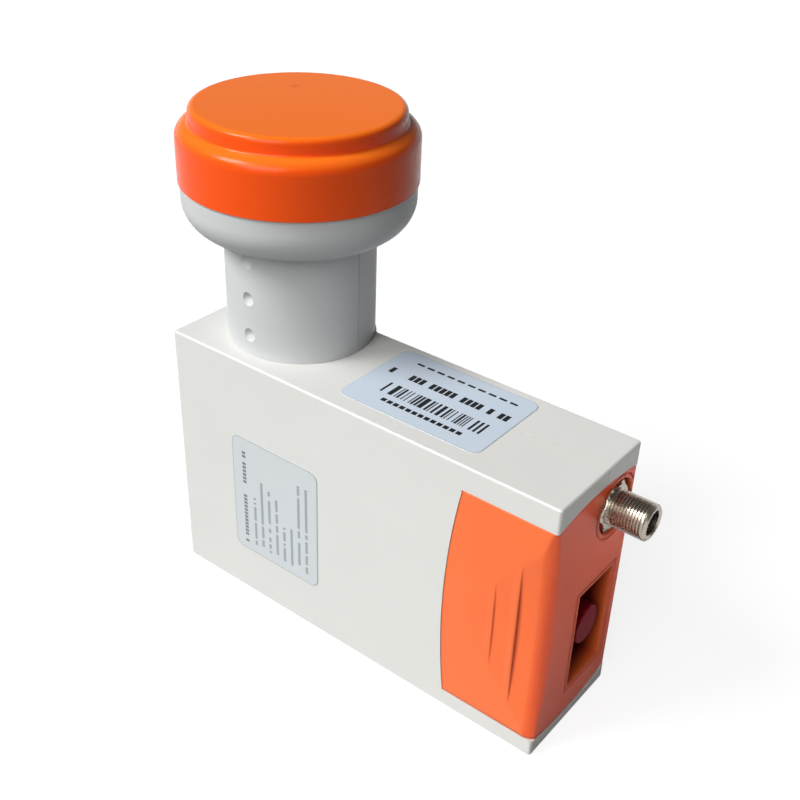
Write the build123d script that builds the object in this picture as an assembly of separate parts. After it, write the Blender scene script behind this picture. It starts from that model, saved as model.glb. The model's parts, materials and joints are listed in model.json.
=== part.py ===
from build123d import *
from math import sqrt
import os

# Optical satellite LNB, in millimetres. The horn axis is x = y = 0, the foot stands on z = 0,
# the connectors face +X and the face with the side label looks along -Y.

# Housing, measured from the horn axis
body_left = 25.0
body_right = 97.8
body_front = 24.25
body_back = 12.0
body_height = 77.3
front_shell_depth = 20.75
wall = 2.2
corner_r = 0.8
inner_corner_r = 0.8
top_edge_r = 0.6
foot_edge_r = 0.5
pillar_ledge = 0.4
pillar_blend_r = 2.0

# Clearances
parting_gap = 0.15
slip = 0.15
close_fit = 0.05
part_gap = 0.6
pick_tolerance = 0.01

# Clamp neck and feed bowl
neck_d = 40.0
neck_length = 30.9
neck_bore_d = 31.0
groove_depth = 3.5
flange_thickness = 3.0
dimple_d = 3.8
dimple_depth = 1.0
dimple_first = 5.9
dimple_pitch = 10.4
dimple_count = 3
seam_width = 0.25
seam_depth = 0.2
bowl_foot_d = 44.2
bowl_d = 60.2
bowl_rim = 4.4
bowl_height = 12.9
bowl_floor = 3.8
spigot_height = 9.0
spigot_wall = 3.2
o_ring_height = 5.0
o_ring_cord = 1.2
o_ring_squeeze = 0.1

# Feed cap
cap_d = 61.2
cap_wall = 1.6
cap_skirt_height = 10.9
cap_shoulder_height = 3.2
cap_cove_r = 0.9
cap_step = 3.5
cap_disc_rise = 4.5
cap_edge_r = 1.6

# Feed horn and waveguide
horn_mouth_inset = 0.6
flare_d = 27.0
choke_width = 3.4
choke_wall = 1.7
choke_depth = 9.0
socket_depth = 3.0
guide_bore_d = 18.0
guide_wall = 3.0
guide_short_drop = 9.0
guide_end_wall = 2.0

# Board tray of the chassis casting
tray_left = 16.0
tray_wall = 2.0
tray_floor = 2.0
tray_depth = 6.0
divider_x = 34.0
end_plate = 3.0
board_thickness = 1.0
lid_thickness = 1.2
pad_d = 6.0
rib_thickness = 2.0

# Probes
probe_d = 1.2
probe_reach = 4.5
hook_length = 4.5
insulator_d = 4.0
straight_probe_drop = 19.3
probe_spacing = 11.0
isolation_d = 1.6
wire_proud = 0.5

# Connector cover
cover_wall = 2.0
cover_bottom = 5.7
cover_lip = 7.5
cover_arch = 2.8
cover_sag = 2.8
cover_inset = 0.15
cover_end_inset = 0.2
cover_near_r = 0.8
cover_far_r = 0.4
cover_edge_top = 71.8
cover_edge_mid = 68.4
cover_edge_mid_z = 28.5
cover_edge_bottom = 70.1
tongue_width = 8.0
tongue_thickness = 1.2
rim_groove_width = 0.5
rim_groove_depth = 0.5
rim_bead = 0.9

# Thumb hollow in the cover's near corner, with ribs that stay level with its front face
grip_start_x = 71.0
grip_sweep_r = 200.0
grip_waist_r = 300.0
grip_corner_r = 4.5
grip_mid_z = 35.2
grip_lead = 0.05
grip_rib_first_x = 74.9
grip_rib_pitch = 6.5
grip_rib_width = 1.8
grip_rib_count = 3

# Fibre recess and port
recess_width = 16.0
recess_height = 30.0
recess_centre_y = -0.4
recess_centre_z = 27.0
recess_depth = 14.0
recess_wall = 1.5
port_flange = 2.0
port_skin = 0.5
port_nose_d = 8.0
port_nose_length = 9.5
port_bore_d = 4.0
port_tail_d = 9.0
port_tail_length = 6.0
ferrule_bore_d = 2.5
dust_cap_d = 11.0
dust_cap_wall = 1.4
dust_cap_inset = 0.8
dust_cap_flutes = 12
dust_cap_flute_r = 0.35
laser_d = 6.4
laser_length = 6.0
laser_flange = 1.5
lead_d = 0.6
lead_pitch = 2.0
lead_run = 3.0

# Coaxial connector, 3/8-32 outside thread
f_y = 3.35
f_drop = 14.7
f_thread_d = 9.525
f_thread_length = 10.1
f_hex = 12.0
f_hex_thickness = 3.5
f_hole_d = 15.0
f_well_wall = 1.2
f_boss_d = 13.2
f_bore_d = 6.4
f_mouth_depth = 4.0
f_tip_chamfer = 0.6
f_tail_d = 9.0
f_washer_thickness = 0.5
contact_d = 0.9
contact_back = 5.0

# Screws
shell_screw_d = 2.9
shell_head_d = 5.4
shell_head_height = 2.2
shell_screw_length = 14.0
head_seat_y = 3.0
boss_wall = 1.4
screw_margin = 7.0
lid_screw_d = 2.0
lid_head_d = 3.8
lid_head_height = 1.0
lid_screw_length = 5.0
lid_post_d = 4.6
port_screw_d = 2.0
port_head_d = 3.6
port_head_height = 1.0
port_screw_pitch = 18.0
recess_slot = 0.7

# Labels
label_thickness = 0.15
label_corner_r = 2.6
top_label_left = 29.2
top_label_right = 71.5
top_label_width = 28.4
top_label_margin = 2.7
side_label_left = -4.2
side_label_right = 26.9
side_label_bottom = 15.0
side_label_top = 53.4

# Board components: width along x, height along z, thickness off the board
transistor_size = (2.2, 1.4, 1.1)
mixer_size = (5.0, 5.0, 0.9)
crystal_size = (3.2, 5.0, 1.1)
regulator_size = (6.5, 3.5, 1.6)
driver_size = (4.0, 4.0, 0.9)
absorber_thickness = 1.5
absorber_width = 30.0
absorber_height = 22.0

# Derived places
parting_y = front_shell_depth - body_front
neck_r = neck_d / 2
pillar_r = neck_r + pillar_ledge
neck_top = body_height + neck_length
floor_z = neck_top + bowl_floor
shoulder_z = neck_top + bowl_height
spigot_top = shoulder_z + spigot_height
cap_inner_r = cap_d / 2 - cap_wall
spigot_r = cap_inner_r - slip
horn_r = spigot_r - spigot_wall - slip
groove_r = neck_r - groove_depth
flange_r = pillar_r - wall - 2 * slip
flare_r = flare_d / 2
guide_r = guide_bore_d / 2
tube_r = guide_r + guide_wall
socket_top = floor_z + socket_depth
choke_count = int((horn_r - flare_r - choke_wall) / (choke_width + choke_wall))
straight_probe_z = body_height - straight_probe_drop
hooked_probe_z = straight_probe_z - probe_spacing
probe_middle_z = (straight_probe_z + hooked_probe_z) / 2
guide_short_z = hooked_probe_z - guide_short_drop

shell_boss_r = shell_screw_d / 2 + boss_wall
rear_boss_r = shell_head_d / 2 + slip + boss_wall
screw_low_z = screw_margin
screw_high_z = body_height - screw_margin
shell_screws_at = (
    (0.0, screw_low_z),
    (cover_edge_mid - screw_margin, screw_low_z),
    (cover_edge_mid - screw_margin, screw_high_z),
    (pillar_r + screw_margin, screw_high_z),
)

cover_end = body_right - cover_end_inset
cover_top = body_height - cover_lip
cover_front = -body_front + cover_inset
cover_back = body_back - cover_inset
recess_floor = cover_end - recess_depth
plate_front = recess_floor - port_flange
plate_back = plate_front - end_plate
plate_y = cover_back - cover_wall - 2 * slip
hex_back = cover_end - f_hex_thickness
boss_front = hex_back - f_washer_thickness
f_z = body_height - f_drop
f_tip = cover_end + f_thread_length

grip_sweep_y = cover_front - grip_lead + grip_sweep_r
grip_corner_x = cover_end + grip_lead - grip_corner_r
grip_run = grip_corner_x - grip_start_x
grip_axis_gap = grip_sweep_r - grip_corner_r
grip_corner_y = grip_sweep_y - sqrt(grip_axis_gap**2 - grip_run**2) - grip_lead
grip_corner_start = grip_start_x + grip_sweep_r * grip_run / grip_axis_gap

tray_bottom = screw_low_z + shell_boss_r + part_gap
tray_top = screw_high_z - shell_boss_r - part_gap
tray_inside = -tube_r
tray_back = tray_inside + tray_floor
tray_rim = tray_inside - tray_depth
lid_front = tray_rim - lid_thickness
board_face = tray_inside - board_thickness
board_left = -tray_left + tray_wall + part_gap
board_right = plate_back - part_gap
board_bottom = tray_bottom + tray_wall + part_gap
board_top = tray_top - tray_wall - part_gap
lid_posts_x = (-tray_left + lid_post_d / 2, divider_x, plate_front - lid_post_d / 2)
lid_posts_z = (tray_bottom + lid_post_d / 2, tray_top - lid_post_d / 2)
probe_tip = -guide_r + probe_reach
contact_bend = plate_back - contact_back
tail_end = plate_back - port_tail_length
laser_back = tail_end - laser_flange - laser_length
lead_bend = laser_back - lead_run


def block(x0, x1, y0, y1, z0, z1):
    """Box between two corners."""
    return Pos((x0 + x1) / 2, (y0 + y1) / 2, (z0 + z1) / 2) * Box(x1 - x0, y1 - y0, z1 - z0)


def rod(start, end, radius):
    """Round bar between two points."""
    run = Vector(*end) - Vector(*start)
    bar = Cylinder(radius, run.length, align=(Align.CENTER, Align.CENTER, Align.MIN))
    return Plane(origin=start, z_dir=run) * bar


def rod_x(x0, x1, y, z, radius):
    return rod((x0, y, z), (x1, y, z), radius)


def rod_y(y0, y1, x, z, radius):
    return rod((x, y0, z), (x, y1, z), radius)


def rod_z(z0, z1, radius):
    return rod((0, 0, z0), (0, 0, z1), radius)


def wire(radius, *points):
    """Round wire through the points, with ball corners."""
    solid = rod(points[0], points[1], radius)
    for a, b in zip(points[1:], points[2:]):
        solid += Pos(*a) * Sphere(radius)
        solid += rod(a, b, radius)
    return solid


def turned(*edges):
    """Solid of revolution about the horn axis from edges in radius and height."""
    return revolve(Plane.XZ * make_face(edges), axis=Axis.Z)


def turned_polygon(*points):
    return turned(*Polyline(*points, close=True).edges())


def at_end(x, left, right):
    return min(abs(x - left), abs(x - right)) < pick_tolerance


def body_plan(inset, radius):
    """Plan outline of the housing, with the half-round pillar that carries the neck's overhang."""
    left = -body_left + inset
    front = -body_front + inset
    back = body_back - inset
    length = body_right - inset - left
    box = Pos(left + length / 2, (front + back) / 2) * Rectangle(length, back - front)
    outline = box + Circle(pillar_r - inset)
    corners = [v for v in outline.vertices() if at_end(v.X, left, left + length)]
    blends = [v for v in outline.vertices() if v not in corners and abs(v.Y - back) < pick_tolerance]
    outline = fillet(blends, pillar_blend_r + inset)
    corners = [v for v in outline.vertices() if at_end(v.X, left, left + length)]
    return fillet(corners, radius)


def body_envelope():
    """Outside of the closed housing, with its rounded rims."""
    solid = extrude(body_plan(0, corner_r), body_height)
    solid = fillet(solid.faces().sort_by(Axis.Z)[-1].edges(), top_edge_r)
    return fillet(solid.faces().sort_by(Axis.Z)[0].edges(), foot_edge_r)


def arched_block(grow):
    """Block between the lips, with the cover's arched top and bottom, reaching past the housing."""
    low = cover_bottom - grow
    high = cover_top + grow
    front = -body_front - wall
    back = body_back + wall
    end = make_face(
        [
            ThreePointArc((front, high), ((front + back) / 2, high + cover_arch), (back, high)),
            Line((back, high), (back, low)),
            ThreePointArc((back, low), ((front + back) / 2, low - cover_sag), (front, low)),
            Line((front, low), (front, high)),
        ]
    )
    return extrude(Plane.YZ * end, body_right + wall)


def bowed_block(grow):
    """Block right of the cover's bowed edge, reaching past the housing."""
    far = body_right + wall
    edge_bottom = (cover_edge_bottom - grow, cover_bottom)
    edge_middle = (cover_edge_mid - grow, cover_edge_mid_z)
    edge_top = (cover_edge_top - grow, cover_top)
    side = make_face(
        [
            ThreePointArc(edge_bottom, edge_middle, edge_top),
            Line(edge_top, (edge_top[0], body_height)),
            Line((edge_top[0], body_height), (far, body_height)),
            Line((far, body_height), (far, 0)),
            Line((far, 0), (edge_bottom[0], 0)),
            Line((edge_bottom[0], 0), edge_bottom),
        ]
    )
    return extrude(Plane.XZ * side, body_front + body_back, both=True)


def tongue(face_y, inward):
    """Strip behind the cover's bowed edge that the cover's wall lies on."""
    band = bowed_block(tongue_width / 2) - bowed_block(-tongue_width / 2)
    y0, y1 = sorted((face_y, face_y + inward * tongue_thickness))
    low = cover_bottom + cover_wall + slip
    high = cover_top - cover_wall - slip
    return band & block(0, body_right, y0, y1, low, high)


def housing():
    """Both shells as one hollow body, with the neck's hole and the cover's opening."""
    cavity = extrude(body_plan(wall, inner_corner_r), body_height - 2 * wall)
    solid = body_envelope() - Pos(0, 0, wall) * cavity
    solid -= bowed_block(slip) & arched_block(slip)
    return solid - rod_z(body_height - 2 * wall, body_height + wall, groove_r + slip)


def half_space(front):
    reach = 2 * (body_left + body_right)
    if front:
        return block(-reach, reach, -reach, parting_y - parting_gap / 2, -reach, reach)
    return block(-reach, reach, parting_y + parting_gap / 2, reach, -reach, reach)


def front_shell():
    inner = -body_front + wall
    solid = housing() & half_space(True)
    solid += tongue(inner, 1)
    pilot_r = shell_screw_d / 2 + close_fit
    pilot_end = head_seat_y - shell_screw_length - part_gap
    for x, z in shell_screws_at:
        solid += rod_y(inner, parting_y - parting_gap / 2, x, z, shell_boss_r)
        solid -= rod_y(pilot_end, parting_y, x, z, pilot_r)
    for x in (tray_left, divider_x + tray_left):
        for z in (board_bottom + pad_d, board_top - pad_d):
            solid += rod_y(inner, lid_front - slip, x, z, pad_d / 2)
    return solid


def rear_shell():
    inner = body_back - wall
    outside = body_envelope() & half_space(False)
    solid = housing() & half_space(False)
    solid += tongue(inner, -1)
    for x, z in shell_screws_at:
        post = rod_y(parting_y + parting_gap / 2, pillar_r, x, z, rear_boss_r) & outside
        solid += post
        solid -= rod_y(parting_y, pillar_r, x, z, shell_screw_d / 2 + slip)
        solid -= rod_y(head_seat_y, pillar_r + part_gap, x, z, shell_head_d / 2 + slip)
    for x in (divider_x - tray_wall, divider_x + tray_left):
        solid += block(x, x + rib_thickness, tray_back + slip, inner, board_bottom + pad_d, board_top - pad_d)
    return solid


def horn_shell():
    """Clamp neck, grooved into the housing's top wall, and the bowl, one moulding."""
    bore = neck_bore_d / 2
    seat = body_height + close_fit
    groove_low = body_height - wall - close_fit
    flange_low = groove_low - flange_thickness
    bowl_r = bowl_d / 2
    bowl_foot = (bowl_foot_d / 2, neck_top)
    bowl_side = (bowl_r, shoulder_z - bowl_rim)
    o_ring_low = shoulder_z + o_ring_height - o_ring_cord
    o_ring_high = o_ring_low + 2 * o_ring_cord
    o_ring_floor = cap_inner_r - o_ring_cord
    inside = [
        bowl_side,
        (bowl_r, shoulder_z),
        (spigot_r, shoulder_z),
        (spigot_r, o_ring_low),
        (o_ring_floor, o_ring_low),
        (o_ring_floor, o_ring_high),
        (spigot_r, o_ring_high),
        (spigot_r, spigot_top),
        (horn_r + slip, spigot_top),
        (horn_r + slip, floor_z),
        (bore, floor_z),
        (bore, flange_low),
        (flange_r, flange_low),
        (flange_r, groove_low),
        (groove_r, groove_low),
        (groove_r, seat),
        (neck_r, seat),
        (neck_r, neck_top),
        bowl_foot,
    ]
    bowl_arc = TangentArc(bowl_side, bowl_foot, tangent=(0, -1))
    solid = turned(bowl_arc, *Polyline(*inside).edges())
    ball_r = (dimple_d**2 / 4 + dimple_depth**2) / (2 * dimple_depth)
    for step in range(dimple_count):
        z = body_height + dimple_first + step * dimple_pitch
        solid -= Pos(0, dimple_depth - neck_r - ball_r, z) * Sphere(ball_r)
    seam_r = neck_r - seam_depth
    seams = block(-neck_r, neck_r, -seam_width / 2, seam_width / 2, seat, neck_top)
    return solid - (seams - rod_z(seat, neck_top, seam_r))


def feed_cap():
    """Press-on cap: plain skirt, rounded shoulder, cove and raised disc."""
    skirt_r = cap_d / 2
    disc_r = skirt_r - cap_step
    low = shoulder_z + slip
    skirt_top = low + cap_skirt_height
    step = skirt_top + cap_shoulder_height
    top = step + cap_disc_rise
    inside_r = disc_r - cap_wall
    outline = [
        Line((skirt_r, low), (skirt_r, skirt_top)),
        TangentArc((skirt_r, skirt_top), (disc_r + cap_cove_r, step), tangent=(0, 1)),
        TangentArc((disc_r, step + cap_cove_r), (disc_r + cap_cove_r, step), tangent=(0, -1)),
        Line((disc_r, step + cap_cove_r), (disc_r, top - cap_edge_r)),
        TangentArc((disc_r, top - cap_edge_r), (disc_r - cap_edge_r, top), tangent=(0, 1)),
        Line((disc_r - cap_edge_r, top), (0, top)),
        Line((0, top), (0, top - cap_wall)),
        Line((0, top - cap_wall), (inside_r, top - cap_wall)),
        Line((inside_r, top - cap_wall), (inside_r, step - cap_wall / 2)),
        Line((inside_r, step - cap_wall / 2), (cap_inner_r, skirt_top)),
        Line((cap_inner_r, skirt_top), (cap_inner_r, low)),
        Line((cap_inner_r, low), (skirt_r, low)),
    ]
    return turned(*outline)


def cap_o_ring():
    cord_r = o_ring_cord / 2 - o_ring_squeeze / 2
    z = shoulder_z + o_ring_height
    return Pos(0, 0, z) * Torus(cap_inner_r - o_ring_cord / 2, cord_r)


def feed_horn():
    """Flared mouth with choke rings; its socket sits on the waveguide's end."""
    mouth = spigot_top - horn_mouth_inset
    solid = turned_polygon(
        (tube_r + close_fit, floor_z),
        (horn_r, floor_z),
        (horn_r, mouth),
        (flare_r, mouth),
        (guide_r, socket_top),
        (tube_r + close_fit, socket_top),
    )
    for ring in range(choke_count):
        inner = flare_r + choke_wall + ring * (choke_width + choke_wall)
        groove = rod_z(mouth - choke_depth, mouth, inner + choke_width)
        solid -= groove - rod_z(mouth - choke_depth, mouth, inner)
    return solid


def chassis_casting():
    """Waveguide tube, board tray and connector wall, cast in one."""
    guide_end = guide_short_z - guide_end_wall
    solid = block(-tray_left, plate_front, tray_rim, tray_back, tray_bottom, tray_top)
    inside_low = tray_bottom + tray_wall
    inside_high = tray_top - tray_wall
    solid -= block(-tray_left + tray_wall, plate_back, tray_rim, tray_inside, inside_low, inside_high)
    divider_left = divider_x - tray_wall / 2
    divider_right = divider_x + tray_wall / 2
    divider = block(divider_left, divider_right, tray_rim, board_face - part_gap, tray_bottom, tray_top)
    notch_z = (tray_bottom + tray_top) / 2
    solid += divider - block(0, plate_back, tray_rim, 0, notch_z - pad_d, notch_z + pad_d)
    solid += block(plate_back, plate_front, tray_rim, plate_y, tray_bottom, tray_top)
    for x in lid_posts_x:
        for z in lid_posts_z:
            solid += rod_y(tray_rim, tray_back, x, z, lid_post_d / 2)
            solid -= rod_y(tray_rim, lid_front + lid_screw_length, x, z, lid_screw_d / 2 + close_fit)
    solid += rod_z(guide_end, socket_top, tube_r)
    solid -= rod_z(guide_short_z, socket_top, guide_r)
    solid += rod_x(plate_front, boss_front, f_y, f_z, f_boss_d / 2)
    solid -= rod_x(plate_back, boss_front, f_y, f_z, f_tail_d / 2 + close_fit)
    for z in (straight_probe_z, hooked_probe_z):
        solid -= rod_y(tray_inside, -guide_r / 2, 0, z, insulator_d / 2)
    solid -= rod_x(-tube_r, tube_r, 0, probe_middle_z, isolation_d / 2 + close_fit)
    solid -= rod_y(tray_inside, tray_back, contact_bend, f_z, contact_d)
    for z in lead_places():
        solid -= rod_y(tray_inside, tray_back, lead_bend, z, lead_d)
    solid -= rod_x(plate_back, plate_front, recess_centre_y, recess_centre_z, port_tail_d / 2 + close_fit)
    for z in port_screw_places():
        solid -= rod_x(plate_back, plate_front, recess_centre_y, z, port_screw_d / 2 + close_fit)
    return solid


def lead_places():
    return [recess_centre_z + step * lead_pitch for step in (-1, 0, 1)]


def port_screw_places():
    return [recess_centre_z + side * port_screw_pitch / 2 for side in (-1, 1)]


def cover_plan(inset, near_r, far_r):
    """Plan outline of the cover, open to the left, with its two upright corners rounded."""
    left = cover_edge_mid - tongue_width
    right = cover_end - inset
    front = cover_front + inset
    back = cover_back - inset
    outline = Pos((left + right) / 2, (front + back) / 2) * Rectangle(right - left, back - front)
    near = outline.vertices().filter_by(lambda v: v.X > left + pick_tolerance and v.Y < 0)
    outline = fillet(near, near_r)
    far = outline.vertices().filter_by(lambda v: v.X > left + pick_tolerance and v.Y > back - pick_tolerance)
    return fillet(far, far_r)


def rim_groove(tool, core):
    """Shallow groove that leaves a bead round an opening in the cover's end face."""
    groove_floor = cover_end - rim_groove_depth
    limit = block(groove_floor, body_right, cover_front, cover_back - rim_bead, 0, body_height)
    return (tool - core) & limit


def recess_block(grow, x0, x1):
    half_width = recess_width / 2 + grow
    half_height = recess_height / 2 + grow
    y = recess_centre_y
    z = recess_centre_z
    return block(x0, x1, y - half_width, y + half_width, z - half_height, z + half_height)


def grip_limit(x, y):
    """Block in front of an upright axis, from x to past the cover's end, as high as the housing."""
    return block(x, body_right + wall, -body_front - wall, y, 0, body_height)


def grip_sweep():
    """Long shallow part of the thumb hollow: a ring that leaves a waist, turned from its section."""
    low = -wall
    high = body_height + wall
    middle_r = grip_sweep_r + grip_waist_r
    low_r, high_r = (middle_r - sqrt(grip_waist_r**2 - (z - grip_mid_z) ** 2) for z in (low, high))
    far_r = grip_sweep_r + body_front
    ring = turned(
        ThreePointArc((low_r, low), (grip_sweep_r, grip_mid_z), (high_r, high)),
        Line((high_r, high), (far_r, high)),
        Line((far_r, high), (far_r, low)),
        Line((far_r, low), (low_r, low)),
    )
    return Pos(grip_start_x, grip_sweep_y) * ring & grip_limit(grip_start_x, grip_sweep_y)


def grip_corner(grow):
    """Round corner of the thumb hollow, carried on from the sweep to the end face."""
    ring = Torus(grip_corner_r + grip_waist_r, grip_waist_r + grow)
    ring = Pos(grip_corner_x, grip_corner_y, grip_mid_z) * ring
    return ring & grip_limit(grip_corner_start, grip_corner_y)


def connector_cover():
    """Orange end moulding with the coaxial well, the fibre recess and the ribbed thumb hollow."""
    outer = extrude(cover_plan(0, cover_near_r, cover_far_r), body_height)
    outer = outer & bowed_block(0) & arched_block(0)
    hollow = grip_sweep()
    for step in range(grip_rib_count):
        x = grip_rib_first_x + step * grip_rib_pitch
        hollow -= block(x, x + grip_rib_width, -body_front - wall, 0, 0, body_height)
    outer = outer - hollow - grip_corner(0)
    inner = extrude(cover_plan(cover_wall, cover_near_r, cover_far_r), body_height)
    inner = inner & arched_block(-cover_wall)
    solid = outer - (inner - grip_corner(cover_wall))
    solid += recess_block(recess_wall, recess_floor + slip, cover_end - cover_wall / 2)
    solid -= recess_block(0, recess_floor, body_right)
    well_r = f_hole_d / 2 + f_well_wall
    solid += rod_x(plate_front + slip, cover_end - cover_wall / 2, f_y, f_z, well_r) & outer
    solid -= rod_x(plate_front, body_right, f_y, f_z, f_hole_d / 2)
    bead_r = f_hole_d / 2 + rim_bead
    ring = rod_x(recess_floor, body_right, f_y, f_z, bead_r + rim_groove_width)
    solid -= rim_groove(ring, rod_x(recess_floor, body_right, f_y, f_z, bead_r))
    frame = recess_block(rim_bead + rim_groove_width, recess_floor, body_right)
    solid -= rim_groove(frame, recess_block(rim_bead, recess_floor, body_right))
    return solid


def f_connector():
    """Threaded barrel, hexagon and tail, turned from one bar."""
    barrel = rod_x(hex_back, f_tip, f_y, f_z, f_thread_d / 2)
    barrel = chamfer(barrel.edges().sort_by(Axis.X)[-1], f_tip_chamfer)
    hexagon = extrude(Plane.YZ * RegularPolygon(f_hex / 2, 6, major_radius=False), f_hex_thickness)
    solid = barrel + Pos(hex_back, f_y, f_z) * hexagon
    solid += rod_x(plate_back, hex_back, f_y, f_z, f_tail_d / 2)
    return solid - rod_x(plate_back, f_tip, f_y, f_z, f_bore_d / 2)


def f_insulator():
    front = f_tip - f_mouth_depth
    solid = rod_x(plate_back, front, f_y, f_z, f_bore_d / 2 - close_fit)
    return solid - rod_x(plate_back, front, f_y, f_z, contact_d / 2 + close_fit)


def f_contact():
    """Centre conductor: along the connector, then down to the board."""
    start = (f_tip - f_mouth_depth - f_washer_thickness, f_y, f_z)
    bend = (contact_bend, f_y, f_z)
    return wire(contact_d / 2, start, bend, (contact_bend, board_face - wire_proud, f_z))


def f_washer():
    ring = rod_x(boss_front, hex_back, f_y, f_z, f_boss_d / 2)
    return ring - rod_x(boss_front, hex_back, f_y, f_z, f_tail_d / 2 + slip)


def fibre_port():
    """Receptacle: flange on the connector wall that closes the recess, threaded nose and rear tail."""
    y = recess_centre_y
    z = recess_centre_z
    nose_end = recess_floor + port_nose_length
    solid = recess_block(recess_wall, plate_front, recess_floor)
    solid += rod_x(plate_front, nose_end, y, z, port_nose_d / 2)
    solid += rod_x(tail_end, plate_front, y, z, port_tail_d / 2)
    solid -= rod_x(tail_end, nose_end, y, z, port_bore_d / 2)
    for place in port_screw_places():
        solid -= rod_x(plate_front, recess_floor - port_skin, y, place, port_screw_d / 2 + slip)
    return solid


def port_screws():
    """Two screws from behind the connector wall; their heads bear on it."""
    solid = Part()
    for z in port_screw_places():
        shank = rod_x(plate_back, recess_floor - port_skin - slip, recess_centre_y, z, port_screw_d / 2)
        head = rod_x(plate_back - port_head_height, plate_back, recess_centre_y, z, port_head_d / 2)
        solid += shank + head
    return solid


def ferrule_sleeve():
    start = plate_back
    end = recess_floor + port_nose_length - dust_cap_wall
    solid = rod_x(start, end, recess_centre_y, recess_centre_z, port_bore_d / 2 - close_fit)
    return solid - rod_x(start, end, recess_centre_y, recess_centre_z, ferrule_bore_d / 2)


def dust_cap():
    """Blind push-on cap with grip flutes round its side."""
    y = recess_centre_y
    z = recess_centre_z
    start = recess_floor + slip
    end = cover_end - dust_cap_inset
    solid = rod_x(start, end, y, z, dust_cap_d / 2)
    solid = fillet(solid.edges().sort_by(Axis.X)[-1], dust_cap_wall / 2)
    bore_r = port_nose_d / 2 + close_fit
    solid -= rod_x(start, recess_floor + port_nose_length + close_fit, y, z, bore_r)
    for place in PolarLocations(dust_cap_d / 2, dust_cap_flutes):
        flute = rod_x(start + dust_cap_wall, end, place.position.X, place.position.Y, dust_cap_flute_r)
        solid -= Pos(0, y, z) * flute
    return solid


def laser_diode():
    can_front = tail_end - laser_flange
    solid = rod_x(can_front, tail_end, recess_centre_y, recess_centre_z, port_tail_d / 2)
    return solid + rod_x(laser_back, can_front, recess_centre_y, recess_centre_z, laser_d / 2)


def laser_leads():
    """Three leads from the laser's back to the board."""
    solid = Part()
    for z in lead_places():
        start = (laser_back, recess_centre_y, z)
        bend = (lead_bend, recess_centre_y, z)
        solid += wire(lead_d / 2, start, bend, (lead_bend, board_face - wire_proud, z))
    return solid


def rf_board():
    solid = block(board_left, board_right, board_face, tray_inside, board_bottom, board_top)
    for x in lid_posts_x:
        for z in lid_posts_z:
            solid -= rod_y(board_face, tray_inside, x, z, lid_post_d / 2 + slip)
    for z in (straight_probe_z, hooked_probe_z):
        solid -= rod_y(board_face, tray_inside, 0, z, probe_d / 2 + close_fit)
    solid -= rod_y(board_face, tray_inside, contact_bend, f_z, contact_d / 2 + close_fit)
    for z in lead_places():
        solid -= rod_y(board_face, tray_inside, lead_bend, z, lead_d / 2 + close_fit)
    return solid


def on_board(size, x, z):
    """Component of the given size on the board's front, centred at x and z."""
    width, height, thickness = size
    return Pos(x, board_face - thickness / 2, z) * Box(width, thickness, height)


def low_noise_transistors():
    """One amplifier beside each probe and a second stage after them."""
    first = probe_d + transistor_size[0]
    second = first + 2 * transistor_size[0]
    solid = on_board(transistor_size, first, straight_probe_z)
    solid += on_board(transistor_size, first, hooked_probe_z)
    return solid + on_board(transistor_size, second, probe_middle_z)


def straight_probe():
    return rod_y(board_face - wire_proud, probe_tip, 0, straight_probe_z, probe_d / 2)


def hooked_probe():
    """Probe that turns across the guide, for the other polarisation."""
    z = hooked_probe_z
    return wire(probe_d / 2, (0, board_face - wire_proud, z), (0, probe_tip, z), (hook_length, probe_tip, z))


def probe_insulators():
    solid = Part()
    for z in (straight_probe_z, hooked_probe_z):
        bush = rod_y(tray_inside, -guide_r, 0, z, insulator_d / 2 - close_fit)
        solid += bush - rod_y(tray_inside, -guide_r, 0, z, probe_d / 2 + close_fit)
    return solid


def isolation_rod():
    return rod_x(-tube_r, tube_r, 0, probe_middle_z, isolation_d / 2)


def shield_lid():
    solid = block(-tray_left, plate_front, lid_front, tray_rim, tray_bottom, tray_top)
    for x in lid_posts_x:
        for z in lid_posts_z:
            solid -= rod_y(lid_front, tray_rim, x, z, lid_screw_d / 2 + slip)
    return solid


def absorber_pad():
    left = -tray_left + lid_post_d + part_gap
    low = probe_middle_z - absorber_height / 2
    high = low + absorber_height
    return block(left, left + absorber_width, tray_rim, tray_rim + absorber_thickness, low, high)


def screw_y(x, z, seat, length, shank_d, head_d, head_height, out):
    """Screw along y with a cross recess; its head stands off the seat towards out."""
    far = seat + out * head_height
    solid = rod((x, seat - out * length, z), (x, seat, z), shank_d / 2)
    solid += rod((x, seat, z), (x, far, z), head_d / 2)
    depth = head_height / 2
    long = head_d / 4
    y0, y1 = sorted((far - out * depth, far + out * depth))
    solid -= block(x - long, x + long, y0, y1, z - recess_slot / 2, z + recess_slot / 2)
    return solid - block(x - recess_slot / 2, x + recess_slot / 2, y0, y1, z - long, z + long)


def lid_screws():
    solid = Part()
    for x in lid_posts_x:
        for z in lid_posts_z:
            solid += screw_y(x, z, lid_front, lid_screw_length, lid_screw_d, lid_head_d, lid_head_height, -1)
    return solid


def shell_screws():
    solid = Part()
    for x, z in shell_screws_at:
        solid += screw_y(
            x, z, head_seat_y, shell_screw_length, shell_screw_d, shell_head_d, shell_head_height, 1
        )
    return solid


def top_label():
    length = top_label_right - top_label_left
    sheet = extrude(RectangleRounded(length, top_label_width, label_corner_r), label_thickness)
    y = body_back - top_label_margin - top_label_width / 2
    return Pos(top_label_left + length / 2, y, body_height) * sheet


def side_label():
    width = side_label_right - side_label_left
    height = side_label_top - side_label_bottom
    sheet = extrude(Plane.XZ * RectangleRounded(width, height, label_corner_r), label_thickness)
    return Pos(side_label_left + width / 2, -body_front, side_label_bottom + height / 2) * sheet


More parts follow.
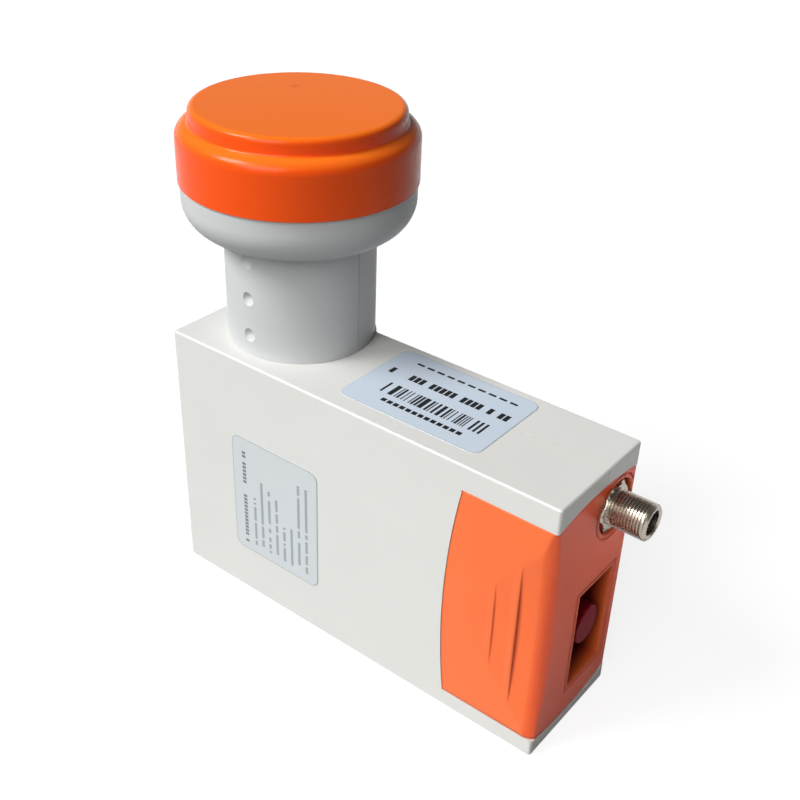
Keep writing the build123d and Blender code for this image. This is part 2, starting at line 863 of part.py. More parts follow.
def main():
    chip_x = divider_x - 2 * mixer_size[0]
    regulator_x = contact_bend - 2 * regulator_size[0]
    pieces = {
        "front_shell": front_shell(),
        "rear_shell": rear_shell(),
        "horn_shell": horn_shell(),
        "feed_cap": feed_cap(),
        "cap_o_ring": cap_o_ring(),
        "feed_horn": feed_horn(),
        "chassis_casting": chassis_casting(),
        "straight_probe": straight_probe(),
        "hooked_probe": hooked_probe(),
        "probe_insulators": probe_insulators(),
        "isolation_rod": isolation_rod(),
        "rf_board": rf_board(),
        "low_noise_transistors": low_noise_transistors(),
        "mixer_chip": on_board(mixer_size, chip_x, probe_middle_z),
        "reference_crystal": on_board(crystal_size, chip_x, probe_middle_z - 2 * crystal_size[1]),
        "voltage_regulator": on_board(regulator_size, regulator_x, f_z - regulator_size[0]),
        "laser_driver": on_board(driver_size, lead_bend - 2 * driver_size[0], recess_centre_z),
        "shield_lid": shield_lid(),
        "absorber_pad": absorber_pad(),
        "lid_screws": lid_screws(),
        "connector_cover": connector_cover(),
        "f_connector": f_connector(),
        "f_insulator": f_insulator(),
        "f_contact": f_contact(),
        "f_washer": f_washer(),
        "fibre_port": fibre_port(),
        "port_screws": port_screws(),
        "ferrule_sleeve": ferrule_sleeve(),
        "dust_cap": dust_cap(),
        "laser_diode": laser_diode(),
        "laser_leads": laser_leads(),
        "shell_screws": shell_screws(),
        "top_label": top_label(),
        "side_label": side_label(),
    }
    os.makedirs("parts", exist_ok=True)
    for name, solid in pieces.items():
        export_step(solid, f"parts/{name}.step")


main()
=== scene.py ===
import json
import math

import bmesh
import bpy
from mathutils import Matrix, Vector


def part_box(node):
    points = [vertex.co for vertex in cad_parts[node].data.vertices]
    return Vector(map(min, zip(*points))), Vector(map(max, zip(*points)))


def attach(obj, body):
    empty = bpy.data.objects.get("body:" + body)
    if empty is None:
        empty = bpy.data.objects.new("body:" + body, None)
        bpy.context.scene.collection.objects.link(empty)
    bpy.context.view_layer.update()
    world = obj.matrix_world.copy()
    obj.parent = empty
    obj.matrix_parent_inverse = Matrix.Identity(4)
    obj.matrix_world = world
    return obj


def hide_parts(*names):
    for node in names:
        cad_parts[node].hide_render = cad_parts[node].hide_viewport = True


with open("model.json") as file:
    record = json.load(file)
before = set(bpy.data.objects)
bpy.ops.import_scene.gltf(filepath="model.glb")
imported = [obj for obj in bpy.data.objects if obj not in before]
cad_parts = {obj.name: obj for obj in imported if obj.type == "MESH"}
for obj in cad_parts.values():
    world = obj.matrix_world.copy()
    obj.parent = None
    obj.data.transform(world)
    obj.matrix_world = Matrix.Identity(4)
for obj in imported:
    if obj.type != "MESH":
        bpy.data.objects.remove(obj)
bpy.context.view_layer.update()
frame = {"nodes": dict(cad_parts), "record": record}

# Optical satellite LNB in metres, in the part's own frame: the horn axis is x = y = 0,
# the foot stands on z = 0, the connectors face +X and the side label looks along -Y.
MM = 0.001

# Camera, fitted to the photograph's edges; the picture is square
CAMERA_TARGET = Vector((39.24, -6.26, 73.06)) * MM
CAMERA_DISTANCE = 287.28 * MM
CAMERA_AZIMUTH = math.radians(37.19)
CAMERA_ELEVATION = math.radians(32.04)
CAMERA_ROLL = math.radians(2.11)
CAMERA_LENS = 50.83
CAMERA_SENSOR = 36.0
CAMERA_NEAREST = 10.0 * MM

# Lamps: a soft key from the left and a soft one from the front; at a level of 1, a lamp alone
# renders a white surface that faces it as white
KEY_AZIMUTH = math.radians(-38.0)
KEY_ELEVATION = math.radians(46.0)
KEY_SPREAD = math.radians(22.0)
KEY_LEVEL = 0.84
FRONT_AZIMUTH = math.radians(4.0)
FRONT_ELEVATION = math.radians(35.0)
FRONT_SPREAD = math.radians(40.0)
FRONT_LEVEL = 0.6

# Weak lamp low behind the connector end; the level is for a full spread, and the narrow beam is stronger
END_LAMP_PLACE = Vector((205.0, 60.0, 25.0)) * MM
END_LAMP_AIM = Vector((97.6, -6.0, 48.0)) * MM
END_LAMP_SIDE = 80.0 * MM
END_LAMP_SPREAD = math.radians(60.0)
END_LAMP_LEVEL = 0.055

# Room: dim for the part; mirrors see a white sweep that fades into the ceiling as directions rise
ROOM_LEVEL = 0.02
CEILING_LEVEL = 0.12
SWEEP_FADE_START = 0.05
SWEEP_FADE_END = 0.3

# Floor: its tones for plain rays, mirrors and the camera, and the glow that mirrors and the camera see
FLOOR_SIDE = 8.0
FLOOR_TONE = "#5E5E5E"
FLOOR_MIRROR_TONE = "#EBEBEB"
FLOOR_CAMERA_TONE = "#7A7A7A"
FLOOR_MIRROR_GLOW = 0.05
FLOOR_CAMERA_GLOW = 0.86

# Coaxial connector: turned barrel with a 3/8-32 thread and a chamfered hexagon
THREAD_PITCH = 25.4 / 32 * MM
THREAD_DEPTH = 0.49 * MM
# Crest and root of one turn: share of the pitch, share of the depth
THREAD_PROFILE = ((0.0, 0.0), (0.22, 0.0), (0.5, 1.0), (0.72, 1.0))
BARREL_D = 9.525 * MM
BARREL_BORE_D = 6.4 * MM
BARREL_RUN = 10.1 * MM
TIP_CHAMFER = 0.6 * MM
MOUTH_CHAMFER = 0.35 * MM
HEX_FLATS = 12.0 * MM
HEX_THICKNESS = 3.5 * MM
HEX_CHAMFER = 0.45 * MM
HEX_FACE_INSET = 0.1 * MM
TAIL_D = 9.0 * MM
BARREL_SEGMENTS = 96
MERGE_DISTANCE = 0.001 * MM
CRISP_ANGLE = math.radians(38.0)

# Surfaces: half of the range that their roughness wanders in
GLOSS_DRIFT = 0.05

# Cap: scar of the moulding gate on its disc, in millimetres on the part, and how dark it is; its darkness
# is partly painted shade of the gate's small dimple
GATE_X = -9.7
GATE_Y = 9.2
GATE_D = 3.0
GATE_SHADE_DARKNESS = 0.2

# Cap and cover: share of a face's normal along an axis where its other tone starts and is full; the cap's
# paler top is painted light and the cover's redder end is painted shade
TOP_LIGHT_START = 0.35
TOP_LIGHT_FULL = 0.95
END_SHADE_START = 0.0
END_SHADE_FULL = 0.9

# Cover, in millimetres: radius over its creases, size of the recess with a little over, and the
# depth in the recess where its painted shade is full
COVER_SOFTNESS = 1.5
RECESS_WIDTH = 16.2
RECESS_HEIGHT = 30.2
RECESS_SHADE_DEPTH = 5.0

# Circuit board: unit of its brick pattern in millimetres, with rows a quarter and bricks half of it,
# and half the width of a copper run as a share of that unit
RUN_UNIT = 6.0
RUN_HALF_WIDTH = 0.06

# Stickers, in millimetres on the part: corner, painted shade line along the edge, and the side sticker's
# fine rows
LABEL_CORNER_R = 2.6
EDGE_SHADE_WIDTH = 0.3
SIDE_ROW_FIRST = 3.7
SIDE_ROW_PITCH = 2.75
SIDE_ROW_CELLS = (21, 29, 27, 25, 16, 16, 36, 36)


def linear(hex_colour):
    """Linear RGBA of an sRGB hex colour."""
    channels = [int(hex_colour[i:i + 2], 16) / 255 for i in (1, 3, 5)]
    return [c / 12.92 if c <= 0.04045 else ((c + 0.055) / 1.055) ** 2.4 for c in channels] + [1.0]


def feed(node, inputs):
    """Sets each input of a node to a value, or links it to a socket."""
    for key, value in inputs.items():
        if isinstance(value, bpy.types.NodeSocket):
            node.id_data.links.new(value, node.inputs[key])
        else:
            node.inputs[key].default_value = value


def add_node(tree, kind, inputs=None, **settings):
    """Adds a node with its settings, values and links."""
    node = tree.nodes.new("ShaderNode" + kind)
    for name, value in settings.items():
        setattr(node, name, value)
    feed(node, inputs or {})
    return node


def start_material(name):
    """New material, with its tree and its shader."""
    material = bpy.data.materials.new(name)
    material.use_nodes = True
    tree = material.node_tree
    return material, tree, tree.nodes["Principled BSDF"]


def per_metre(size_mm):
    """Texture scale that gives features of this size."""
    return 1 / (size_mm * MM)


def place_on_part(tree):
    """Coordinates on the part in metres."""
    return add_node(tree, "TexCoord").outputs["Object"]


def place_mm(tree):
    """Coordinates on the part in millimetres."""
    place = place_on_part(tree)
    return add_node(tree, "VectorMath", {0: place, "Scale": 1 / MM}, operation="SCALE").outputs["Vector"]


def axes_mm(tree):
    """The three coordinates on the part in millimetres, by the name of their axis."""
    return add_node(tree, "SeparateXYZ", {0: place_mm(tree)}).outputs


def facing(tree, axis, start, full):
    """Mask that grows from zero to one as a face turns towards an axis of the part."""
    normal = add_node(tree, "NewGeometry").outputs["Normal"]
    turned = add_node(tree, "SeparateXYZ", {0: normal}).outputs[axis]
    return add_node(tree, "MapRange", {0: turned, 1: start, 2: full}).outputs[0]


def surface(name, light, dark, patch_mm, roughness, grain_mm, depth_mm, settings):
    """Colour that drifts in patches between two tones, with a grain in the bump and in the gloss.

    Where the real grain is too fine to show, it is drawn as coarse as it needs to be.
    """
    material, tree, shader = start_material(name)
    place = place_on_part(tree)
    patch = add_node(tree, "TexNoise", {"Vector": place, "Scale": per_metre(patch_mm), "Detail": 3.0})
    tone = add_node(
        tree, "Mix", {0: patch.outputs["Fac"], 6: linear(light), 7: linear(dark)}, data_type="RGBA"
    )
    grain = add_node(tree, "TexNoise", {"Vector": place, "Scale": per_metre(grain_mm), "Detail": 2.0})
    height = grain.outputs["Fac"]
    gloss = add_node(tree, "MapRange", {0: height, 3: roughness - GLOSS_DRIFT, 4: roughness + GLOSS_DRIFT})
    bump = add_node(tree, "Bump", {"Height": height, "Distance": depth_mm * MM, "Strength": 1.0})
    feed(shader, {
        "Base Color": tone.outputs[2],
        "Roughness": gloss.outputs[0],
        "Normal": bump.outputs["Normal"],
    })
    feed(shader, settings)
    return material


def paint(material, mask, colour):
    """Lays a colour over the base colour where the mask is one."""
    tree = material.node_tree
    shader = tree.nodes["Principled BSDF"]
    under = shader.inputs["Base Color"].links[0].from_socket
    over = add_node(tree, "Mix", {0: mask, 6: under, 7: linear(colour)}, data_type="RGBA")
    feed(shader, {"Base Color": over.outputs[2]})


def soften(material, radius_mm):
    """Rounds the shading over creases, as the small radii of a mould do."""
    tree = material.node_tree
    rounded = add_node(tree, "Bevel", {"Radius": radius_mm * MM})
    feed(tree.nodes["Bump"], {"Normal": rounded.outputs["Normal"]})


def white_housing():
    """ABS moulded in a spark-eroded tool: warm white, an even satin with a fine orange peel."""
    return surface(
        "abs_moulded_warm_white", "#E1E1DD", "#DCDCD8",
        patch_mm=22.0, roughness=0.42, grain_mm=0.7, depth_mm=0.012,
        settings={"IOR": 1.53, "Specular IOR Level": 0.3},
    )


def grey_neck():
    """ABS from a polished tool: pale cool grey, smoother than the housing."""
    return surface(
        "abs_moulded_pale_grey", "#CFD1D1", "#CBCDCD",
        patch_mm=18.0, roughness=0.40, grain_mm=0.9, depth_mm=0.008,
        settings={"IOR": 1.53, "Specular IOR Level": 0.12},
    )


def gate_dimple_shade(tree):
    """Faint mask of the round scar that the moulding gate leaves on the cap's disc, darkened partly as
    painted shade of its small dimple.
    """
    gate = (GATE_X, GATE_Y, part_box("feed_cap")[1].z / MM)
    distance = add_node(tree, "VectorMath", {0: place_mm(tree), 1: gate}, operation="DISTANCE")
    scar = add_node(
        tree, "MapRange",
        {0: distance.outputs["Value"], 1: GATE_D / 4, 2: GATE_D / 2, 3: GATE_SHADE_DARKNESS, 4: 0.0},
    )
    return scar.outputs[0]


def orange_cap():
    """Polypropylene, moulded: strong orange with a waxy gloss; the paler tone on the faces that look up is
    painted light, and the redder sides are painted shade.
    """
    material = surface(
        "polypropylene_moulded_orange_painted_light_and_shade", "#FF5812", "#FC540F",
        patch_mm=16.0, roughness=0.22, grain_mm=0.8, depth_mm=0.0007,
        settings={"IOR": 1.49, "Specular IOR Level": 0.16},
    )
    tree = material.node_tree
    # painted light: the faces that look up are laid over with a paler orange
    paint(material, facing(tree, "Z", TOP_LIGHT_START, TOP_LIGHT_FULL), "#FF7A20")
    # gate scar, its darkness partly painted shade of the gate's dimple
    paint(material, gate_dimple_shade(tree), "#8E2A06")
    return material


def recess_shade_mask(tree):
    """Mask of painted shade that grows from the mouth of the fibre recess to its deep walls."""
    axes = axes_mm(tree)
    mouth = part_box("connector_cover")[1].x / MM
    mask = add_node(tree, "MapRange", {0: axes["X"], 1: mouth, 2: mouth - RECESS_SHADE_DEPTH}).outputs[0]
    low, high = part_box("dust_cap")
    middle = (low + high) / 2 / MM
    for name, centre, size in (("Y", middle.y, RECESS_WIDTH), ("Z", middle.z, RECESS_HEIGHT)):
        inside = add_node(tree, "Math", {0: axes[name], 1: centre, 2: size / 2}, operation="COMPARE")
        mask = add_node(tree, "Math", {0: mask, 1: inside.outputs[0]}, operation="MULTIPLY").outputs[0]
    return mask


def orange_cover():
    """ABS, moulded with a fine texture: coral orange, a little drier than the cap.

    Its end is a deeper red than its sides and its recess a dark red, as the photograph shows them; both are
    painted shade.
    """
    material = surface(
        "abs_moulded_coral_orange_painted_shade", "#FF773C", "#FC7237",
        patch_mm=16.0, roughness=0.34, grain_mm=0.7, depth_mm=0.010,
        settings={"IOR": 1.53, "Specular IOR Level": 0.4},
    )
    soften(material, COVER_SOFTNESS)
    tree = material.node_tree
    # painted shade: the end, which faces away from the lamps, is laid over with a deeper red
    paint(material, facing(tree, "X", END_SHADE_START, END_SHADE_FULL), "#FF5A26")
    # painted shade: the recess walls darken to a deep red towards its floor
    paint(material, recess_shade_mask(tree), "#6E1A0C")
    return material


def crimson_cap():
    """Soft vinyl, dip moulded: deep crimson with a rubbery gloss."""
    return surface(
        "vinyl_moulded_crimson", "#8E0F22", "#7C0C1C",
        patch_mm=4.0, roughness=0.42, grain_mm=0.5, depth_mm=0.010,
        settings={"IOR": 1.52, "Specular IOR Level": 0.08},
    )


def cast_alloy():
    """Aluminium, die cast: dull silver with a mottled skin from the die."""
    return surface(
        "aluminium_die_cast", "#B9BBBE", "#A2A5A9",
        patch_mm=9.0, roughness=0.5, grain_mm=0.6, depth_mm=0.03,
        settings={"Metallic": 1.0},
    )


def nickel_plate():
    """Brass, turned and nickel plated: warm silver, smooth, with faint clouding from the bath."""
    return surface(
        "brass_turned_nickel_plated", "#C8C0B4", "#B9B1A5",
        patch_mm=3.0, roughness=0.27, grain_mm=0.8, depth_mm=0.0006,
        settings={"Metallic": 1.0},
    )


def gold_wire():
    """Brass wire, drawn and plated: bright yellow metal."""
    return surface(
        "brass_drawn_plated", "#DDB765", "#CFA654",
        patch_mm=3.0, roughness=0.25, grain_mm=0.3, depth_mm=0.004,
        settings={"Metallic": 1.0},
    )


def white_ptfe():
    """PTFE, turned from rod: chalky white."""
    return surface(
        "ptfe_turned", "#EFEDE8", "#E6E4DE",
        patch_mm=3.0, roughness=0.5, grain_mm=0.4, depth_mm=0.008,
        settings={"IOR": 1.36},
    )


def black_resin():
    """Filled polymer, moulded: near black and dull; its black is partly painted shade, so that a hollow
    reads as dark.
    """
    return surface(
        "polymer_moulded_black_painted_shade", "#161617", "#101011",
        patch_mm=3.0, roughness=0.55, grain_mm=0.4, depth_mm=0.008,
        settings={"IOR": 1.5, "Specular IOR Level": 0.25},
    )


def board_laminate():
    """Glass-epoxy board under green solder mask, with the copper runs showing as a lighter green."""
    material, tree, shader = start_material("glass_epoxy_solder_masked")
    runs = add_node(tree, "TexBrick", {
        "Vector": place_on_part(tree),
        "Color1": linear("#175A34"),
        "Color2": linear("#14502F"),
        "Mortar": linear("#2A7A4A"),
        "Scale": per_metre(RUN_UNIT),
        "Mortar Size": RUN_HALF_WIDTH,
    })
    feed(shader, {"Base Color": runs.outputs["Color"], "Roughness": 0.35})
    return material


def chip_black():
    """Epoxy, transfer moulded: charcoal with a matt speckle."""
    return surface(
        "epoxy_transfer_moulded", "#242426", "#1C1C1E",
        patch_mm=1.5, roughness=0.6, grain_mm=0.2, depth_mm=0.01,
        settings={"IOR": 1.55},
    )


def steel_can():
    """Steel, pressed and tinned: soft grey sheen with cloudy patches."""
    return surface(
        "steel_pressed_tinned", "#C3C4C4", "#B3B4B5",
        patch_mm=2.5, roughness=0.32, grain_mm=0.3, depth_mm=0.006,
        settings={"Metallic": 1.0},
    )


def screw_steel():
    """Steel, cold headed and zinc plated: bluish silver, slightly clouded."""
    return surface(
        "steel_zinc_plated", "#B9BDC3", "#A6ABB2",
        patch_mm=2.0, roughness=0.36, grain_mm=0.4, depth_mm=0.008,
        settings={"Metallic": 1.0},
    )


def absorber_foam():
    """Silicone sheet loaded with iron powder: dark grey and dead matt."""
    return surface(
        "silicone_iron_loaded", "#3A3A3C", "#303032",
        patch_mm=3.0, roughness=0.85, grain_mm=0.3, depth_mm=0.02,
        settings={"IOR": 1.43},
    )


def seal_rubber():
    """Nitrile rubber, moulded: soft black with a dusty bloom."""
    return surface(
        "nitrile_moulded", "#2A2A2B", "#1F1F20",
        patch_mm=4.0, roughness=0.6, grain_mm=0.4, depth_mm=0.01,
        settings={"IOR": 1.52},
    )


def white_ceramic():
    """Zirconia, ground: dense milky white with a polished skin."""
    return surface(
        "zirconia_ground", "#F0EEE8", "#E9E6DF",
        patch_mm=2.0, roughness=0.2, grain_mm=0.3, depth_mm=0.002,
        settings={"IOR": 2.1},
    )


def printed_row(tree, along, across, start, cells, middle, height, cell, fill, share):
    """Mask of one printed row of cells, in mm: each cell is left bare or has one plain mark.

    fill is the chance that a cell is printed, and share is how much of the cell's length its mark takes.
    """
    offset = add_node(tree, "Math", {0: along, 1: start}, operation="SUBTRACT")
    counted = add_node(tree, "Math", {0: offset.outputs[0], 1: cell}, operation="DIVIDE")
    number = add_node(tree, "Math", {0: counted.outputs[0]}, operation="FLOOR")
    within = add_node(tree, "Math", {0: counted.outputs[0]}, operation="FRACT")
    seed = add_node(tree, "Math", {0: number.outputs[0], 1: middle}, operation="ADD")
    chance = add_node(tree, "TexWhiteNoise", {"W": seed.outputs[0]}, noise_dimensions="1D")
    mask = add_node(tree, "Math", {0: chance.outputs["Value"], 1: fill}, operation="LESS_THAN").outputs[0]
    limits = [
        add_node(tree, "Math", {0: within.outputs[0], 1: share}, operation="LESS_THAN"),
        add_node(tree, "Math", {0: counted.outputs[0], 1: cells / 2, 2: cells / 2}, operation="COMPARE"),
        add_node(tree, "Math", {0: across, 1: middle, 2: height / 2}, operation="COMPARE"),
    ]
    for limit in limits:
        mask = add_node(tree, "Math", {0: mask, 1: limit.outputs[0]}, operation="MULTIPLY").outputs[0]
    return mask


def edge_shade_line(tree, axes, node, names):
    """Mask of a thin line of painted shade along the rounded edge of a film that lies on two axes."""
    low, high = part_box(node)
    past_straight = []
    for name in names:
        start, end = (getattr(corner, name.lower()) / MM for corner in (low, high))
        straight = (end - start) / 2 - LABEL_CORNER_R
        offset = add_node(tree, "Math", {0: axes[name], 1: (start + end) / 2}, operation="SUBTRACT")
        reach = add_node(tree, "Math", {0: offset.outputs[0]}, operation="ABSOLUTE")
        past = add_node(tree, "Math", {0: reach.outputs[0], 1: straight}, operation="SUBTRACT")
        rounded = add_node(tree, "Math", {0: past.outputs[0], 1: 0.0}, operation="MAXIMUM")
        past_straight.append(rounded.outputs[0])
    corner = add_node(tree, "CombineXYZ", {0: past_straight[0], 1: past_straight[1]})
    radius = add_node(tree, "VectorMath", {0: corner.outputs[0]}, operation="LENGTH").outputs["Value"]
    half = EDGE_SHADE_WIDTH / 2
    line = add_node(tree, "Math", {0: radius, 1: LABEL_CORNER_R - half, 2: half}, operation="COMPARE")
    return line.outputs[0]


def printed_film(name, node, paper, shade, edge_shade, inks, along, across):
    """Polyester film, printed and die cut: smooth, with a fine line of painted shade along its edge and
    rows of plain marks.
    """
    material = surface(
        name, paper, shade,
        patch_mm=30.0, roughness=0.34, grain_mm=1.2, depth_mm=0.003,
        settings={"IOR": 1.57, "Specular IOR Level": 0.4},
    )
    tree = material.node_tree
    axes = axes_mm(tree)
    # painted shade along the film's edge
    paint(material, edge_shade_line(tree, axes, node, (along, across)), edge_shade)
    for ink, rows in inks.items():
        for row in rows:
            paint(material, printed_row(tree, axes[along], axes[across], **row), ink)
    return material


def top_sticker():
    """Pale blue film: a field of plain bars with rows of marks on both sides of it."""
    rows = [
        dict(start=36.0, cells=10, middle=5.2, height=0.8, cell=3.2, fill=1.0, share=0.7),
        dict(start=32.4, cells=23, middle=-1.5, height=2.7, cell=1.6, fill=0.88, share=0.8),
        dict(start=36.3, cells=90, middle=-9.1, height=5.0, cell=0.34, fill=0.52, share=1.0),
        dict(start=39.6, cells=13, middle=-14.3, height=1.4, cell=1.9, fill=1.0, share=0.76),
    ]
    # the colour after the film's two tones is the painted shade along its edge
    return printed_film(
        "polyester_film_pale_blue", "top_label", "#D0DCE8", "#C8D5E3", "#C2CCD6",
        {"#1B1D20": rows}, "X", "Y",
    )


def side_sticker():
    """Cool white film: a longer title row and finer grey rows beside it, all upright."""
    title = [dict(start=17.6, cells=26, middle=0.1, height=1.3, cell=1.22, fill=0.9, share=0.7)]
    fine = dict(start=18.2, height=0.95, cell=0.8, fill=0.82, share=0.7)
    rows = []
    for i, cells in enumerate(SIDE_ROW_CELLS):
        rows.append(dict(fine, cells=cells, middle=SIDE_ROW_FIRST + SIDE_ROW_PITCH * i))
    # the colour after the film's two tones is the painted shade along its edge
    return printed_film(
        "polyester_film_cool_white", "side_label", "#D1D7D9", "#CDD3D6", "#B4BBBE",
        {"#6F777B": title, "#868E92": rows}, "Z", "X",
    )


def dress_nodes():
    """Gives every CAD node the material of its slot in the record."""
    finishes = [
        white_housing, grey_neck, orange_cap, orange_cover, crimson_cap, cast_alloy, nickel_plate,
        gold_wire, white_ptfe, black_resin, board_laminate, chip_black, steel_can, screw_steel,
        absorber_foam, seal_rubber, white_ceramic, top_sticker, side_sticker,
    ]
    materials = {finish.__name__: finish() for finish in finishes}
    for part in frame["record"]["subparts"]:
        mesh = frame["nodes"][part["node"]].data
        mesh.materials.clear()
        mesh.materials.append(materials[part["material_slot"]])
    return materials


def hex_radius(angle):
    """Radius of the hexagon at an angle, with flats at the top and bottom."""
    turn = math.radians(60)
    from_flat = (angle + turn / 2) % turn - turn / 2
    return HEX_FLATS / 2 / math.cos(from_flat)


def round_row(x, radius):
    """Row of places and radii for a round ring."""
    return [(x, radius)] * BARREL_SEGMENTS


def hex_row(x):
    """Row for the hexagon's side; angles are counted from the top flat's middle."""
    step = 2 * math.pi / BARREL_SEGMENTS
    return [(x, hex_radius(i * step)) for i in range(BARREL_SEGMENTS)]


def add_ring(bm, axis, row):
    """Ring of points round the barrel's axis, one for each place and radius of the row."""
    ring = []
    for i, (x, radius) in enumerate(row):
        angle = 2 * math.pi * i / BARREL_SEGMENTS
        ring.append(bm.verts.new((x, axis.y + radius * math.sin(angle), axis.z + radius * math.cos(angle))))
    return ring


def join_rings(bm, near, far):
    """Band of faces between two closed rings."""
    for i in range(BARREL_SEGMENTS):
        j = (i + 1) % BARREL_SEGMENTS
        bm.faces.new((near[i], near[j], far[j], far[i]))


def add_thread(bm, axis, start, end):
    """Right-hand thread, cut into the barrel along its helix and running out at both ends."""
    steps = len(THREAD_PROFILE)
    turns = math.ceil((end - start) / THREAD_PITCH) + 1
    rings = []
    for turn in range(-1, turns + 1):
        for phase, depth in THREAD_PROFILE:
            row = []
            for i in range(BARREL_SEGMENTS):
                x = start + (turn + phase - i / BARREL_SEGMENTS) * THREAD_PITCH
                x = min(max(x, start), end)
                run_out = min(1.0, (x - start) / THREAD_PITCH, (end - x) / THREAD_PITCH)
                row.append((x, BARREL_D / 2 - THREAD_DEPTH * depth * run_out))
            rings.append(add_ring(bm, axis, row))
    last = BARREL_SEGMENTS - 1
    for k in range(steps, len(rings) - 1):
        near, far = rings[k], rings[k + 1]
        for i in range(last):
            bm.faces.new((near[i], near[i + 1], far[i + 1], far[i]))
        bm.faces.new((near[last], rings[k - steps][0], rings[k + 1 - steps][0], far[last]))


def finish_piece(bm, name):
    """Turns a bmesh into an object on the part's one body, smooth but for its crisp edges."""
    mesh = bpy.data.meshes.new(name)
    bm.to_mesh(mesh)
    bm.free()
    mesh.shade_smooth()
    mesh.set_sharp_from_angle(angle=CRISP_ANGLE)
    piece = bpy.data.objects.new(name, mesh)
    bpy.context.scene.collection.objects.link(piece)
    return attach(piece, "root")


def threaded_connector():
    """Nickel-plated barrel with its thread, hexagon, bore and tail as one closed mesh."""
    low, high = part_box("f_connector")
    axis = (low + high) / 2
    tip = high.x
    hex_front = tip - BARREL_RUN
    hex_back = hex_front - HEX_THICKNESS
    thread_end = tip - TIP_CHAMFER
    bore = BARREL_BORE_D / 2
    crest = BARREL_D / 2
    chamfer_r = HEX_FLATS / 2 - HEX_FACE_INSET
    rows = [
        round_row(hex_front, crest),
        round_row(hex_front, chamfer_r),
        hex_row(hex_front - HEX_CHAMFER),
        hex_row(hex_back + HEX_CHAMFER),
        round_row(hex_back, chamfer_r),
        round_row(hex_back, TAIL_D / 2),
        round_row(low.x, TAIL_D / 2),
        round_row(low.x, bore),
        round_row(tip - MOUTH_CHAMFER, bore),
        round_row(tip, bore + MOUTH_CHAMFER),
        round_row(tip, crest - TIP_CHAMFER),
        round_row(thread_end, crest),
    ]
    bm = bmesh.new()
    rings = [add_ring(bm, axis, row) for row in rows]
    for near, far in zip(rings, rings[1:]):
        join_rings(bm, near, far)
    add_thread(bm, axis, hex_front, thread_end)
    bmesh.ops.remove_doubles(bm, verts=bm.verts, dist=MERGE_DISTANCE)
    bmesh.ops.recalc_face_normals(bm, faces=bm.faces)
    return finish_piece(bm, "threaded_barrel")


def build_pieces(materials):
    """Adds the one piece that takes a CAD node's place."""
    connector = threaded_connector()
    connector.data.materials.append(materials["nickel_plate"])
    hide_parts("f_connector")


def toward(azimuth, elevation):
    """Unit vector from the part towards a viewer or lamp at these angles."""
    level = math.cos(elevation)
    return Vector((math.sin(azimuth) * level, -math.cos(azimuth) * level, math.sin(elevation)))


def ray_kinds(tree):
    """Masks of the rays that come straight from the camera and of those that mirrors and glass send on."""
    path = add_node(tree, "LightPath").outputs
    sent_on = {0: path["Is Glossy Ray"], 1: path["Is Transmission Ray"]}
    mirror = add_node(tree, "Math", sent_on, operation="MAXIMUM").outputs[0]
    return path["Is Camera Ray"], mirror


def lay_floor():
    """Pale floor that looks white, to mirrors too, and keeps the part's soft shadow."""
    half = FLOOR_SIDE / 2
    corners = [(-half, -half, 0), (half, -half, 0), (half, half, 0), (-half, half, 0)]
    mesh = bpy.data.meshes.new("floor")
    mesh.from_pydata(corners, [], [(0, 1, 2, 3)])
    floor = bpy.data.objects.new("floor", mesh)
    bpy.context.scene.collection.objects.link(floor)
    material, tree, shader = start_material("paper_sweep_white")
    camera, mirror = ray_kinds(tree)
    mirror_glow = add_node(tree, "Math", {0: mirror, 1: FLOOR_MIRROR_GLOW}, operation="MULTIPLY").outputs[0]
    glow = add_node(tree, "Mix", {0: camera, 2: mirror_glow, 3: FLOOR_CAMERA_GLOW})
    off_camera = add_node(
        tree, "Mix", {0: mirror, 6: linear(FLOOR_TONE), 7: linear(FLOOR_MIRROR_TONE)}, data_type="RGBA"
    )
    tone = add_node(
        tree, "Mix", {0: camera, 6: off_camera.outputs[2], 7: linear(FLOOR_CAMERA_TONE)}, data_type="RGBA"
    )
    feed(shader, {
        "Base Color": tone.outputs[2],
        "Roughness": 1.0,
        "Specular IOR Level": 0.0,
        "Emission Color": linear("#FFFFFF"),
        "Emission Strength": glow.outputs[0],
    })
    mesh.materials.append(material)


def hang_lamp(name, azimuth, elevation, spread, level):
    """Lamp far away in a direction."""
    light = bpy.data.lights.new(name, "SUN")
    light.angle = spread
    light.energy = level * math.pi
    lamp = bpy.data.objects.new(name, light)
    lamp.rotation_euler = toward(azimuth, elevation).to_track_quat("Z", "Y").to_euler()
    bpy.context.scene.collection.objects.link(lamp)


def stand_end_lamp():
    """Square lamp that lifts the connector end's face and little else."""
    beam = END_LAMP_PLACE - END_LAMP_AIM
    light = bpy.data.lights.new("end", "AREA")
    light.size = END_LAMP_SIDE
    light.spread = END_LAMP_SPREAD
    light.energy = END_LAMP_LEVEL * math.pi ** 2 * beam.length_squared
    lamp = bpy.data.objects.new("end", light)
    lamp.location = END_LAMP_PLACE
    lamp.rotation_euler = beam.to_track_quat("Z", "Y").to_euler()
    lamp.visible_camera = False
    lamp.visible_glossy = False
    bpy.context.scene.collection.objects.link(lamp)


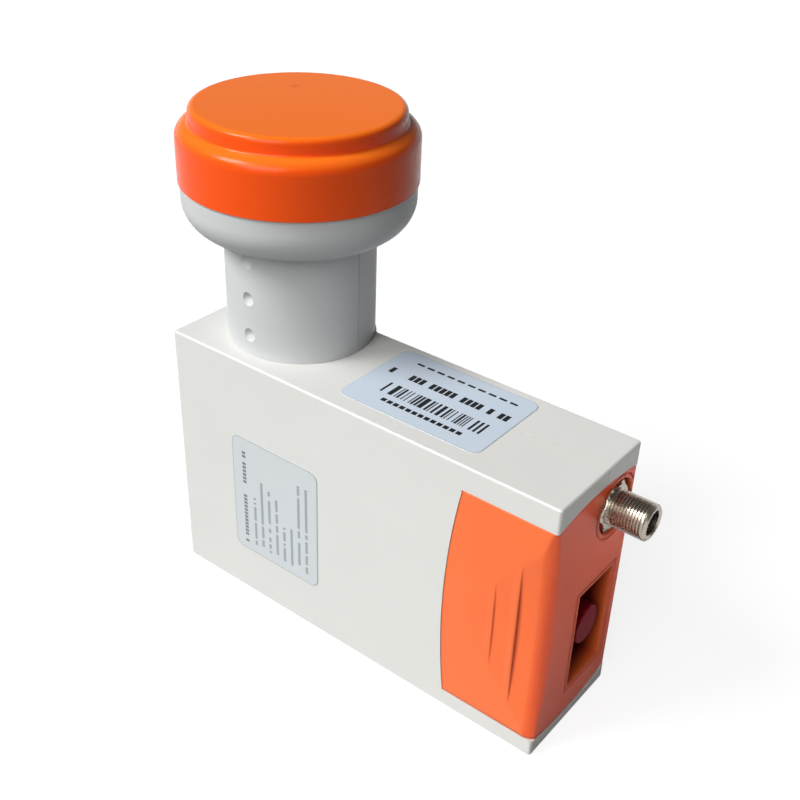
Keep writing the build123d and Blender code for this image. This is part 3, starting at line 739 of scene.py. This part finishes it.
def light_room():
    """White for the camera, a white sweep under a dim ceiling for mirrors, and a dim room with lamps."""
    world = bpy.data.worlds.new("studio")
    bpy.context.scene.world = world
    world.use_nodes = True
    tree = world.node_tree
    direction = add_node(tree, "TexCoord").outputs["Generated"]
    rise = add_node(tree, "SeparateXYZ", {0: direction}).outputs["Z"]
    sweep = add_node(
        tree, "MapRange", {0: rise, 1: SWEEP_FADE_START, 2: SWEEP_FADE_END, 3: 1.0, 4: CEILING_LEVEL}
    )
    camera, mirror = ray_kinds(tree)
    room = add_node(tree, "Mix", {0: mirror, 2: ROOM_LEVEL, 3: sweep.outputs[0]})
    level = add_node(tree, "Mix", {0: camera, 2: room.outputs[0], 3: 1.0})
    feed(tree.nodes["Background"], {"Color": linear("#FFFFFF"), "Strength": level.outputs[0]})
    hang_lamp("key", KEY_AZIMUTH, KEY_ELEVATION, KEY_SPREAD, KEY_LEVEL)
    hang_lamp("front", FRONT_AZIMUTH, FRONT_ELEVATION, FRONT_SPREAD, FRONT_LEVEL)
    stand_end_lamp()


def set_camera():
    """Camera at the photograph's place, turned by its small roll."""
    back = toward(CAMERA_AZIMUTH, CAMERA_ELEVATION)
    level = Vector((math.cos(CAMERA_AZIMUTH), math.sin(CAMERA_AZIMUTH), 0.0))
    upright = back.cross(level)
    right = level * math.cos(CAMERA_ROLL) + upright * math.sin(CAMERA_ROLL)
    up = upright * math.cos(CAMERA_ROLL) - level * math.sin(CAMERA_ROLL)
    lens = bpy.data.cameras.new("camera")
    lens.lens = CAMERA_LENS
    lens.sensor_width = CAMERA_SENSOR
    lens.clip_start = CAMERA_NEAREST
    camera = bpy.data.objects.new("camera", lens)
    turn = Matrix((right, up, back)).transposed().to_4x4()
    camera.matrix_world = Matrix.Translation(CAMERA_TARGET + back * CAMERA_DISTANCE) @ turn
    bpy.context.scene.collection.objects.link(camera)
    bpy.context.scene.camera = camera


build_pieces(dress_nodes())
lay_floor()
light_room()
set_camera()
bpy.context.scene.view_settings.view_transform = "Standard"
